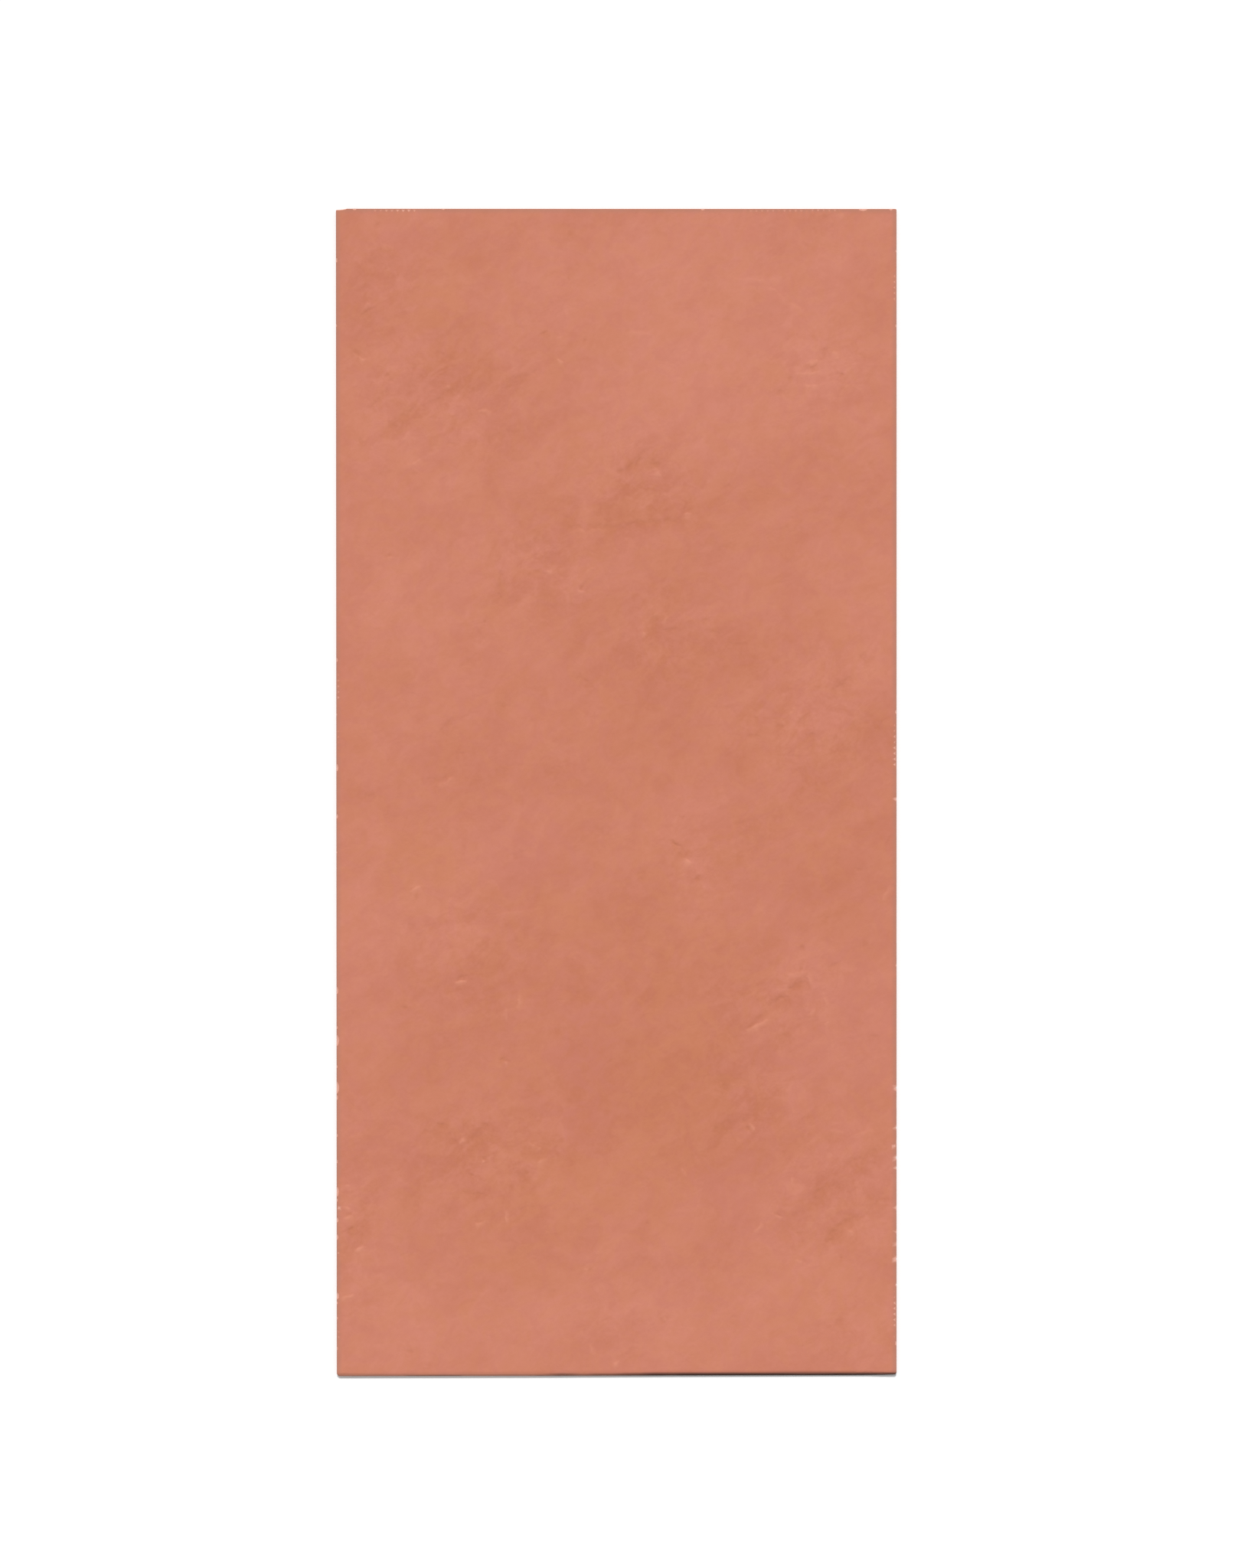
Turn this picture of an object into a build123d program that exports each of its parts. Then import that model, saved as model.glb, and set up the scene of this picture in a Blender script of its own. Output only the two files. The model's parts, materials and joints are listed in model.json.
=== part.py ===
from build123d import *
import math
import os

# A sintered stone slab, pressed and fired in one piece. It lies flat on its back with the
# textured face up. The origin is the middle of the back, +Y runs up the slab's length, +X across
# its width and +Z up through its thickness. All sizes are in millimetres.

# Driving dimensions: the trade format of the slab.
WIDTH = 1200.0
LENGTH = 2500.0
THICKNESS = 12.0

# Eased edges: the round along the face and the small bevel along the back.
FACE_ARRIS = 2.0
BACK_ARRIS = 0.8

# Corners, as seen from above with +Y up. The lower left one is clipped, the upper left one has lost
# a long flake, the foot edge lifts towards the lower right one, and the rest are only rounded.
CLIPPED_CORNER = 5.0
FLAKE_RUN = 24.0
FLAKE_DROP = 2.5
FLAKE_BOW = 0.8
LIFT_RUN = 95.0
LIFT_RISE = 2.5
LIFT_CORNER_RADIUS = 5.0
HEAD_CORNER_RADIUS = 2.5

# The foot edge is worn round, lightly at the left and over most of its thickness at the right.
# Each station is a distance from the left side, as a share of the width, with the worn round's
# width on the face and its depth on the side there.
FOOT_WEAR = ((0.0, 8.0, 3.0), (0.36, 10.0, 3.8), (0.60, 11.0, 5.5), (0.95, 11.0, 7.0), (1.0, 8.0, 5.0))
WEAR_START = 5.0  # the angle, in degrees, at which the worn round leaves the face

# Chips broken out of the edge of the face, each a shallow shell-shaped flake that bites further into
# the face than down the side. Each one is given by its place along the side, measured from the side's
# middle, its length and its width on the face.
CHIP_SLOPE = 0.45
LEFT_CHIPS = (
    (1140, 13, 5.0),
    (1000, 9, 3.5),
    (285, 12, 5.0),
    (168, 8, 3.0),
    (54, 20, 5.5),
    (-50, 15, 5.0),
    (-127, 7, 3.0),
    (-423, 20, 5.0),
    (-502, 9, 4.5),
    (-530, 28, 7.0),
    (-586, 8, 4.0),
    (-631, 30, 7.0),
    (-652, 16, 4.0),
    (-733, 10, 4.5),
    (-790, 14, 3.5),
    (-854, 26, 6.0),
    (-872, 12, 4.0),
    (-915, 14, 6.5),
    (-951, 15, 5.5),
    (-1077, 18, 7.5),
    (-1092, 9, 4.0),
    (-1125, 11, 4.0),
    (-1190, 13, 4.0),
)
RIGHT_CHIPS = (
    (1160, 9, 3.5),
    (1000, 11, 4.0),
    (173, 14, 4.5),
    (-370, 8, 3.5),
    (-1180, 13, 5.0),
)
HEAD_CHIPS = ((-560, 12, 4.5), (-370, 9, 3.5), (185, 12, 4.5), (528, 24, 5.0), (588, 10, 5.0))
FOOT_CHIPS = ((-76, 8, 4.5), (216, 15, 6.0), (502, 9, 5.0), (578, 11, 6.0))

# Small nicks that run the whole thickness of the right side, given in the same way.
RIGHT_NICKS = (
    (-14, 4, 1.0),
    (-633, 6, 1.6),
    (-718, 5, 1.4),
    (-782, 7, 1.6),
    (-804, 4, 1.4),
    (-1000, 5, 1.5),
    (-1055, 4, 1.0),
)

LEFT, RIGHT = -WIDTH / 2, WIDTH / 2
FOOT, HEAD = -LENGTH / 2, LENGTH / 2
OUTSIDE = 10.0  # how far a cutter reaches past the slab


def plan():
    """The slab's outline, anticlockwise from the clipped corner."""
    flake_middle = (LEFT + FLAKE_RUN / 2, HEAD - FLAKE_DROP / 2 - FLAKE_BOW)
    with BuildLine() as edge:
        Line((LEFT, FOOT + CLIPPED_CORNER), (LEFT + CLIPPED_CORNER, FOOT))
        foot = Line((LEFT + CLIPPED_CORNER, FOOT), (RIGHT - LIFT_RUN, FOOT))
        TangentArc(foot @ 1, (RIGHT, FOOT + LIFT_RISE), tangent=foot % 1)
        Polyline((RIGHT, FOOT + LIFT_RISE), (RIGHT, HEAD), (LEFT + FLAKE_RUN, HEAD))
        ThreePointArc((LEFT + FLAKE_RUN, HEAD), flake_middle, (LEFT, HEAD - FLAKE_DROP))
        Line((LEFT, HEAD - FLAKE_DROP), (LEFT, FOOT + CLIPPED_CORNER))
    face = make_face(edge.edges())
    for radius, corner in (
        (LIFT_CORNER_RADIUS, (RIGHT, FOOT)),
        (HEAD_CORNER_RADIUS, (RIGHT, HEAD)),
        (HEAD_CORNER_RADIUS, (LEFT, HEAD)),
    ):
        face = fillet(face.vertices().sort_by_distance(corner)[0], radius)
    return face


def blank():
    """The slab with its eased face edge and the bevel round its back, before wear."""
    slab = extrude(plan(), THICKNESS)
    slab = fillet(slab.faces().sort_by(Axis.Z)[-1].edges(), FACE_ARRIS)
    return chamfer(slab.faces().sort_by(Axis.Z)[0].edges(), BACK_ARRIS)


def foot_wear():
    """The clay worn off the foot edge of the face, as ruled spans between the stations."""
    start = Vector(math.cos(math.radians(WEAR_START)), math.sin(math.radians(WEAR_START)))
    corner = (-2 * OUTSIDE, OUTSIDE)
    sections = []
    for share, width, depth in FOOT_WEAR:
        across = Plane(origin=(LEFT + share * WIDTH, FOOT, THICKNESS), x_dir=(0, 1, 0), z_dir=(1, 0, 0))
        with BuildLine() as edge:
            run_in = Line((width, 0) + start * OUTSIDE, (width, 0))
            worn = TangentArc(run_in @ 1, (0, -depth), tangent=-start)
            run_out = Line(worn @ 1, worn @ 1 + (worn % 1) * OUTSIDE)
            Polyline(run_out @ 1, corner, run_in @ 0)
        sections.append(across * make_face(edge.edges()))
    return loft(sections, ruled=True)


def ball_radius(length, depth):
    """The radius of a round tool that leaves a scallop of this length and depth on an edge."""
    return (length**2 / 4 + depth**2) / (2 * depth)


def on_side(side, place):
    """A plane at a place along one side: its X points out of the slab and its Y along the side."""
    turn, middle = {
        "right": (0, (RIGHT, 0)),
        "head": (90, (0, HEAD)),
        "left": (180, (LEFT, 0)),
        "foot": (270, (0, FOOT)),
    }[side]
    lengthwise = side in ("left", "right")
    spot = (middle[0], place, 0) if lengthwise else (place, middle[1], 0)
    return Plane(spot) * Rot(0, 0, turn)


def chip(side, place, length, width):
    """A ball that breaks a flake out of the edge between the face and a side."""
    lean = math.atan(CHIP_SLOPE)
    depth = width * math.sin(lean)
    radius = ball_radius(length, depth)
    out, up = (radius - depth) * math.sin(lean), (radius - depth) * math.cos(lean)
    return on_side(side, place) * Pos(out, 0, THICKNESS + up) * Sphere(radius)


def nick(side, place, length, depth):
    """An upright round bar that leaves a nick through the whole thickness of a side."""
    radius = ball_radius(length, depth)
    middle = Pos(radius - depth, 0, THICKNESS / 2)
    return on_side(side, place) * middle * Cylinder(radius, THICKNESS + OUTSIDE)


def worn_slab():
    """The finished slab: the blank with its worn foot edge, chips and nicks cut away."""
    wear = [foot_wear()]
    for side, chips in (
        ("left", LEFT_CHIPS),
        ("right", RIGHT_CHIPS),
        ("head", HEAD_CHIPS),
        ("foot", FOOT_CHIPS),
    ):
        wear += [chip(side, *values) for values in chips]
    wear += [nick("right", *values) for values in RIGHT_NICKS]
    slab = blank()
    for cutter in wear:
        slab -= cutter
    return slab


os.makedirs("parts", exist_ok=True)
slab = worn_slab()
slab.label = "slab"
export_step(slab, "parts/slab.step")
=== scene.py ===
import json
import math
from contextlib import contextmanager

import bpy
import numpy as np
from bpy.props import FloatProperty, FloatVectorProperty, IntProperty, PointerProperty
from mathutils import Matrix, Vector, noise

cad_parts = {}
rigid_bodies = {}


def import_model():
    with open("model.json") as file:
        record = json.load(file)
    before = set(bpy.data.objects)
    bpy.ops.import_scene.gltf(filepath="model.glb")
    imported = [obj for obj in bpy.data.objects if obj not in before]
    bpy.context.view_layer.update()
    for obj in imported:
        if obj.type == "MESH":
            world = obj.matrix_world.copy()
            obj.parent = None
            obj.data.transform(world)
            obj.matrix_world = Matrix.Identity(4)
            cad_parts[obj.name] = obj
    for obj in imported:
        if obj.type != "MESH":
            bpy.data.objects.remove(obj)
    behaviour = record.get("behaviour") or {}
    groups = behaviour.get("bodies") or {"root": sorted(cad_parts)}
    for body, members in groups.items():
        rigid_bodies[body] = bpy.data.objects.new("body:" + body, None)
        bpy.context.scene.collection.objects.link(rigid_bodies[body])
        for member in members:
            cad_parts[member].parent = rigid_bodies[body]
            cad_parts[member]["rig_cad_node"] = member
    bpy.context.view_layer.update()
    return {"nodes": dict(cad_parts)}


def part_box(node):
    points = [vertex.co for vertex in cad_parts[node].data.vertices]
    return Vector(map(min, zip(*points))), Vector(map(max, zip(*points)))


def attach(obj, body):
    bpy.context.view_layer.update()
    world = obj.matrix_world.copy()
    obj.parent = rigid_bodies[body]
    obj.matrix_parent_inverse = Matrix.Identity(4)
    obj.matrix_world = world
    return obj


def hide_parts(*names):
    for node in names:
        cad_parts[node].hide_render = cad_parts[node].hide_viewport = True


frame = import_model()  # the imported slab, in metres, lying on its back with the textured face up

bl_info = {
    "name": "Trowelled Clay Slab",
    "version": (1, 0, 0),
    "blender": (4, 5, 0),
    "location": "3D View > Sidebar > Clay Slab",
    "description": "Gives a sintered slab its trowelled clay face, its broken edges and its fired colours",
    "category": "Mesh",
}

NODE = "slab"
PIECE = "trowelled_slab"

LOW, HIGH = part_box(NODE)
HALF_WIDTH = (HIGH.x - LOW.x) / 2
HALF_LENGTH = (HIGH.y - LOW.y) / 2
THICKNESS = HIGH.z - LOW.z

MM = 0.001
ARRIS = 2.0 * MM  # round along the edge of the face
ROUND_START = THICKNESS - 1.01 * ARRIS  # height just below the start of that round
BACK_BEVEL = 0.8 * MM
SIDE_CUT = THICKNESS - 1.65 * ARRIS  # height of the line that parts the top of a side from the rest of it
FOOT_WEAR = 13 * MM  # how far the worn round of the foot edge reaches into the face
RIM_SHADE_REACH = 4.5 * MM  # how far the shade painted along the rounded rim reaches into the face
FOOT_SHADE_REACH = 10 * MM  # how far the shade painted on the worn foot edge reaches into the face
UPHILL = (-0.38, 0.92)  # across the face, the way the trowel pushed its folds over

TINY = 0.01 * MM  # points closer together than this are one, and a point this close to a plane is on it
CUT_SNAP = 0.001 * MM  # a cut this close to a point goes through it
SLIVER = 0.02 * MM  # edges of the net shorter than this are joined, and a chip shallower than this is none
WIDE_FACE = 1.4 * MM  # a face of a chip with more area than a square this wide is divided
CHIP_DEPTH = 0.1 * MM  # a face this far below the unbroken edge is part of a chip
LEVEL = 0.999  # a level face's normal rises more than this
UPRIGHT = 0.01  # an upright face's normal rises or falls less than this

# A mark's steep flank and its gentle one, in half widths of the mark, and the spread of its colour, in
# widths of a flank: a groove's stain with painted shade, a lip's painted highlight.
GROOVE_FLANKS = (0.95, 2.3, 1.7)
LIP_FLANKS = (0.7, 1.9, 1.1)
MARK_TAIL = 7  # beyond this many half widths a mark has faded out
END_DEPTH = 0.35  # share of a mark's depth that is left at its ends
FULL_TINT = 0.8 * MM  # a mark listed at least this deep or high takes its full colour
BROKEN_FROM = 0.09 * MM  # the colour of a broken edge starts this far below the unbroken one
BROKEN_FULLY = 0.25 * MM  # and is full here
WRINKLED_SKIN = 0.45  # where the wrinkled patches are stronger than this, the whole net is closer
RIDGES = (1.0, 2.1, 3, 1.0, 2.0)  # the wrinkle noise's dimension, lacunarity, octaves, offset and gain

# Patches of paler and darker clay: (waves in a metre, detail, warp, width of the border, strength).
TONE_PATCHES = (
    (3.4, 5, 0.6, 0.22, 0.17),
    (8.0, 6, 1.0, 0.16, 0.14),
    (19.0, 6, 1.2, 0.14, 0.13),
    (45.0, 5, 0.8, 0.14, 0.09),
    (105.0, 3, 0.3, 0.16, 0.05),
)
BUSY_SCALE = 5  # patches with more waves in a metre than this are stronger where the clay is wrinkled
FLAT_SCALE = 30  # patches with fewer waves in a metre than this are drawn out along the strokes

# The camera: its lens in millimetres, its place above the slab in metres and its turns in degrees.
CAMERA_LENS = 70
CAMERA_PLACE = (-0.0062, 0.0452, 6.5406)
CAMERA_TURNS = (-0.231, -0.251, -0.021)

# Every mark below is in millimetres from the middle of the slab, as seen from above with the head up.
# A groove or a lip is (from x, from y, to x, to y, depth or height, half width).

# Grooves, pits and dragged dents that the trowel pressed into the clay.
HEAD_LEFT_GROOVES = (
    (-549, 1020, -524, 1036, 0.80, 4),
    (-560, 938, -548, 944, 0.60, 5),
    (-386, 946, -345, 925, 0.35, 4),
    (-490, 896, -484, 891, 0.80, 4),
    (-481, 887, -477, 883, 0.50, 3),
    (-532, 818, -485, 859, 0.45, 6),
    (-493, 777, -424, 826, 0.50, 6),
    (-399, 831, -358, 864, 0.50, 6),
    (-552, 752, -543, 750, 0.45, 4),
    (-296, 752, -206, 777, 0.30, 6),
    (-285, 711, -235, 728, 0.25, 5),
    (-370, 745, -347, 743, 0.40, 3),
    (-439, 686, -430, 684, 0.35, 4),
    (-244, 864, -178, 903, 0.45, 6),
    (-186, 905, -177, 901, 0.55, 4),
    (-104, 1220, -108, 1171, 0.35, 5),
    (-104, 1130, -107, 1097, 0.35, 5),
    (-165, 979, -148, 991, 0.55, 3),
    (-70, 972, -62, 968, 0.50, 4),
    (-431, 912, -422, 910, 0.45, 4),
    (-242, 862, -233, 866, 0.40, 4),
    (-512, 1217, -505, 1213, 0.45, 4),
    (-175, 703, -165, 703, 0.30, 5),
    (-553, 1108, -509, 1151, 0.30, 7),
    (-484, 513, -477, 513, 0.60, 4),
)
HEAD_RIGHT_GROOVES = (
    (446, 952, 459, 947, 0.55, 5),
    (415, 911, 432, 914, 0.55, 4),
    (478, 896, 489, 893, 0.60, 4),
    (338, 863, 352, 860, 0.45, 4),
    (364, 891, 378, 887, 0.45, 5),
    (74, 710, 90, 705, 0.75, 4),
    (232, 660, 245, 656, 0.50, 4),
    (440, 1238, 462, 1212, 0.40, 9),
    (465, 711, 486, 711, 0.30, 8),
    (541, 700, 556, 705, 0.35, 8),
    (199, 528, 257, 528, 0.35, 8),
    (350, 561, 372, 561, 0.30, 7),
)
MIDDLE_GROOVES = (
    (-207, 515, -170, 547, 0.55, 6),
    (-137, 528, -127, 500, 0.35, 9),
    (-176, 470, -146, 466, 0.35, 5),
    (-80, 437, -71, 452, 0.90, 4),
    (-162, 400, -88, 400, 0.30, 9),
    (-252, 474, -252, 424, 0.60, 4),
    (-252, 430, -242, 414, 0.45, 4),
    (-284, 370, -276, 370, 0.50, 4),
    (-301, 359, -276, 326, 0.35, 5),
    (-334, 260, -301, 301, 0.30, 6),
    (-260, 187, -227, 187, 0.35, 6),
    (-80, 252, -55, 228, 0.45, 5),
    (-383, 137, -350, 162, 0.45, 5),
    (-342, 83, -326, 84, 0.40, 3),
    (-424, 23, -367, 39, 0.50, 5),
    (-153, 39, -121, 55, 0.35, 7),
    (-547, -5, -514, -5, 0.40, 5),
    (80, 378, 89, 370, 0.70, 4),
    (101, 354, 125, 354, 0.40, 4),
    (183, 367, 207, 375, 0.40, 4),
    (207, 351, 227, 326, 0.40, 5),
    (240, 318, 281, 318, 0.40, 4),
    (458, 211, 503, 252, 0.75, 6),
    (522, 285, 532, 293, 0.60, 4),
    (503, 129, 544, 170, 0.45, 7),
    (380, 137, 412, 170, 0.45, 6),
    (339, 146, 355, 146, 0.35, 4),
    (462, 113, 519, 80, 0.35, 8),
    (292, 162, 304, 162, 0.35, 3),
    (416, 127, 428, 126, 0.50, 3),
    (286, 121, 314, 121, 0.35, 3),
    (262, -50, 270, -112, 0.35, 12),
    (125, -105, 138, -119, 1.20, 3.5),
    (138, -122, 142, -140, 0.50, 6),
    (170, -176, 179, -189, 0.75, 5),
    (44, -162, 54, -196, 0.45, 5),
    (128, -50, 150, -53, 0.35, 5),
    (118, -68, 130, -85, 0.30, 6),
    (584, -95, 583, -117, 0.45, 3),
    (515, -160, 518, -168, 0.50, 4),
    (-222, -135, -186, -118, 0.35, 6),
    (-55, -82, -10, -84, 0.35, 10),
    (446, -260, 460, -268, 0.35, 5),
)
FOOT_LEFT_GROOVES = (
    (-435, -221, -424, -227, 0.40, 3),
    (-317, -245, -317, -285, 0.30, 11),
    (-446, -282, -434, -284, 0.40, 4),
    (-339, -394, -318, -398, 0.60, 4),
    (-447, -409, -437, -412, 0.40, 4),
    (-460, -455, -452, -463, 0.40, 5),
    (-262, -343, -256, -330, 0.50, 5),
    (-225, -310, -203, -328, 0.35, 8),
    (-345, -415, -330, -437, 0.30, 7),
    (-121, -415, -60, -440, 0.35, 8),
    (-135, -503, -112, -503, 0.40, 6),
    (-248, -566, -237, -572, 1.00, 4),
    (-381, -710, -367, -714, 1.00, 4),
    (-408, -720, -400, -752, 0.50, 8),
    (-320, -752, -281, -710, 0.85, 7),
    (-360, -728, -340, -746, 0.50, 5),
    (-288, -781, -280, -784, 0.45, 3),
    (-213, -832, -188, -820, 0.70, 8),
    (-325, -856, -283, -862, 0.55, 4),
    (-306, -914, -278, -921, 0.45, 4),
    (-316, -818, -308, -821, 0.55, 3),
    (-442, -862, -428, -888, 0.40, 8),
    (-380, -903, -340, -885, 0.30, 10),
    (-203, -902, -180, -885, 0.40, 7),
    (-250, -898, -248, -915, 0.35, 3),
    (-240, -1000, -212, -985, 0.35, 7),
    (-578, -941, -557, -928, 0.65, 5),
    (-560, -897, -535, -880, 0.40, 7),
    (-252, -1066, -242, -1066, 0.50, 3),
    (-144, -1068, -130, -1068, 0.40, 4),
    (-62, -1026, -56, -1031, 0.45, 3),
    (-449, -1195, -440, -1199, 0.40, 5),
    (-470, -1000, -440, -985, 0.30, 6),
)
FOOT_RIGHT_GROOVES = (
    (238, -527, 262, -500, 0.30, 8),
    (268, -511, 322, -471, 0.50, 5),
    (325, -458, 366, -437, 0.80, 6),
    (367, -422, 397, -408, 0.75, 3.5),
    (384, -413, 408, -400, 0.45, 8),
    (391, -371, 401, -371, 0.45, 8),
    (390, -332, 402, -330, 0.55, 3.5),
    (455, -379, 480, -361, 0.40, 5),
    (521, -325, 534, -322, 0.55, 7),
    (350, -517, 385, -535, 0.35, 6),
    (530, -524, 565, -521, 0.35, 4),
    (222, -608, 242, -634, 0.65, 8),
    (279, -713, 283, -725, 1.00, 4),
    (268, -697, 280, -700, 0.45, 4),
    (207, -730, 246, -702, 0.65, 6),
    (412, -868, 450, -850, 0.60, 7),
    (450, -850, 512, -822, 0.45, 7),
    (498, -802, 562, -764, 0.55, 8),
    (450, -957, 478, -924, 0.75, 7),
    (478, -924, 530, -906, 0.55, 6),
    (530, -906, 566, -868, 0.45, 8),
    (447, -961, 466, -962, 0.45, 4),
    (388, -945, 402, -946, 0.50, 4),
    (396, -962, 404, -963, 0.45, 4),
    (334, -900, 346, -902, 0.50, 3.5),
    (371, -899, 389, -897, 0.40, 3.5),
    (456, -908, 474, -901, 0.40, 3.5),
    (397, -1005, 401, -1009, 0.45, 3),
    (478, -992, 486, -995, 0.40, 4),
    (97, -1121, 101, -1135, 0.85, 4),
    (30, -1160, 52, -1130, 0.40, 3.5),
    (480, -1119, 478, -1146, 0.60, 4),
    (497, -1198, 502, -1203, 0.50, 4),
    (45, -960, 60, -960, 0.35, 3),
    (54, -826, 70, -834, 0.35, 5),
    (64, -920, 70, -924, 0.35, 4),
    (440, -745, 470, -735, 0.30, 6),
)
GROOVES = (
    *HEAD_LEFT_GROOVES, *HEAD_RIGHT_GROOVES, *MIDDLE_GROOVES, *FOOT_LEFT_GROOVES, *FOOT_RIGHT_GROOVES,
)

# Lips: thin folds of clay that the trowel left standing.
LIPS = (
    (-549, 934, -531, 930, 0.50, 4),
    (-375, 868, -362, 872, 0.35, 4),
    (-293, 815, -265, 815, 0.35, 4),
    (-465, 757, -449, 777, 0.30, 5),
    (-449, 700, -424, 711, 0.30, 4),
    (-508, 1171, -476, 1161, 0.25, 4),
    (-540, 1040, -530, 1046, 0.40, 4),
    (-127, 925, -118, 925, 0.45, 4),
    (-112, 1028, -102, 1030, 0.25, 6),
    (-130, 974, -120, 974, 0.25, 6),
    (-226, 935, -220, 890, 0.20, 6),
    (248, 1098, 355, 1098, 0.22, 5),
    (322, 1080, 396, 1031, 0.22, 5),
    (27, 982, 68, 982, 0.28, 5),
    (466, 943, 476, 928, 0.50, 4),
    (412, 924, 434, 926, 0.50, 4),
    (380, 895, 437, 899, 0.35, 4),
    (404, 869, 437, 871, 0.45, 4),
    (437, 871, 535, 875, 0.18, 6),
    (81, 698, 90, 681, 0.40, 4),
    (143, 592, 162, 595, 0.55, 4),
    (-95, 558, -22, 566, 0.28, 6),
    (-150, 473, -137, 473, 0.50, 4),
    (-62, 475, -48, 475, 0.30, 4),
    (-86, 434, -74, 431, 0.50, 4),
    (-484, 507, -477, 507, 0.45, 3),
    (-80, 178, -55, 146, 0.20, 7),
    (-385, 13, -350, 34, 0.35, 5),
    (80, 380, 88, 381, 0.40, 3),
    (60, 343, 67, 340, 0.45, 4),
    (99, 374, 106, 374, 0.40, 4),
    (367, 169, 375, 169, 0.40, 4),
    (-362, 29, -354, 31, 0.40, 4),
    (153, -142, 164, -154, 0.60, 4),
    (569, -228, 583, -198, 0.35, 6),
    (-442, -214, -422, -204, 0.45, 4),
    (-342, -402, -317, -408, 0.60, 3.5),
    (-211, -430, -214, -466, 0.40, 3.5),
    (-241, -468, -234, -484, 0.30, 4),
    (-260, -262, -170, -250, 0.20, 6),
    (272, -508, 323, -486, 0.60, 4),
    (411, -395, 412, -411, 0.50, 3.5),
    (371, -395, 412, -383, 0.30, 7),
    (444, -436, 447, -456, 0.30, 5),
    (408, -482, 420, -468, 0.30, 5),
    (445, -500, 457, -493, 0.30, 4),
    (-240, -579, -233, -580, 0.55, 4),
    (290, -705, 298, -719, 0.50, 4),
    (-332, -736, -329, -746, 0.60, 3.5),
    (-288, -787, -282, -790, 0.50, 3.5),
    (-170, -796, -147, -783, 0.45, 4),
    (-194, -753, -168, -766, 0.35, 3.5),
    (-305, -922, -279, -918, 0.50, 3.5),
    (-240, -899, -235, -926, 0.40, 3.5),
    (-562, -986, -545, -978, 0.70, 4),
    (-587, -915, -563, -903, 0.45, 5),
    (-583, -886, -570, -890, 0.50, 4),
    (-590, -1080, -565, -1070, 0.50, 4),
    (-583, -843, -572, -843, 0.40, 4),
    (374, -824, 376, -840, 0.50, 3.5),
    (295, -941, 311, -922, 0.40, 4),
    (139, -811, 150, -819, 0.35, 4),
    (334, -905, 356, -908, 0.35, 4),
    (405, -924, 421, -930, 0.40, 4),
    (489, -939, 506, -946, 0.55, 4),
    (386, -1001, 396, -1005, 0.45, 3.5),
    (-70, -1025, -64, -1026, 0.40, 3),
    (105, -1122, 110, -1132, 0.35, 4),
    (-52, -1187, -50, -1206, 0.35, 3.5),
    (455, -726, 476, -724, 0.30, 4),
    (512, -736, 546, -725, 0.25, 5),
    (478, 1236, 486, 1234, 0.40, 4),
    (-8, -1226, 6, -1228, 0.50, 4),
)

# Long folds, each a line of points where one stroke of the trowel lapped over the last.
FOLDS = (
    (((7, 682), (33, 705), (66, 737)), 0.75, 5),
    (((-112, 567), (-30, 572), (76, 580), (139, 589), (163, 630)), 0.50, 5),
    (((-5, -1015), (60, -1004), (150, -1012), (240, -1000)), 0.15, 10),
    (((102, -832), (180, -775), (279, -700), (355, -634)), 0.25, 9),
)

# Broad clouds of paler and darker clay: (x, y, half width, half height, strength), pale above zero.
CLOUDS = (
    (257, 990, 330, 280, 0.90),
    (-498, 482, 195, 195, 0.46),
    (43, 334, 180, 195, -0.70),
    (453, -27, 180, 215, -0.60),
    (-203, 55, 215, 150, -0.25),
    (-6, -683, 330, 330, -0.90),
    (-547, -355, 150, 195, 0.50),
    (-6, -1125, 690, 150, 0.70),
    (535, -396, 130, 165, 0.30),
    (27, -305, 245, 165, -0.50),
    (-547, -929, 150, 130, 0.30),
    (-390, -105, 190, 95, -0.45),
    (300, -105, 100, 95, -0.50),
    (-70, 1090, 110, 190, -0.50),
    (102, 735, 150, 90, 0.35),
    (300, -930, 100, 95, 0.35),
    (300, 100, 110, 90, -0.35),
    (493, 300, 90, 100, -0.35),
    (102, -930, 90, 90, -0.35),
)

# Clouds where the clay fired to a rosier red, above zero, or a more ochre one.
BLUSHES = (
    (-383, 1056, 60, 60, -0.9),
    (-452, 1205, 70, 25, 0.7),
    (-300, 836, 40, 30, 0.6),
    (-112, 916, 30, 25, -0.5),
    (339, 902, 30, 25, -0.6),
    (-133, 515, 35, 35, 0.7),
    (-276, 396, 30, 30, -0.7),
    (-39, 187, 35, 30, -0.6),
    (376, 252, 50, 80, 0.5),
    (493, 320, 80, 90, -0.4),
    (-94, 721, 90, 80, -0.6),
    (-416, -133, 110, 70, -1.1),
    (-186, -133, 110, 80, 0.8),
    (-498, -355, 90, 70, 0.6),
    (-121, -250, 80, 60, -0.8),
    (-65, -560, 90, 120, 0.8),
    (-210, -600, 60, 40, -0.7),
    (165, -390, 110, 130, -0.7),
    (330, -200, 80, 60, 0.4),
    (437, -135, 80, 60, -0.6),
    (500, -440, 110, 180, 0.6),
    (100, -590, 90, 100, -0.7),
    (371, -585, 100, 80, 0.6),
    (-137, -850, 150, 90, -0.8),
    (-475, -750, 100, 80, 0.5),
    (-334, -1110, 110, 60, -0.4),
    (-250, -1010, 80, 60, -0.5),
    (76, -780, 100, 140, -0.8),
    (257, -870, 110, 120, 0.7),
    (404, -1075, 120, 80, -0.5),
    (109, -1093, 60, 50, 0.5),
    (493, -1150, 80, 60, -0.4),
    (100, -110, 90, 90, -0.4),
    (-94, -722, 70, 70, 0.5),
)

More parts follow.
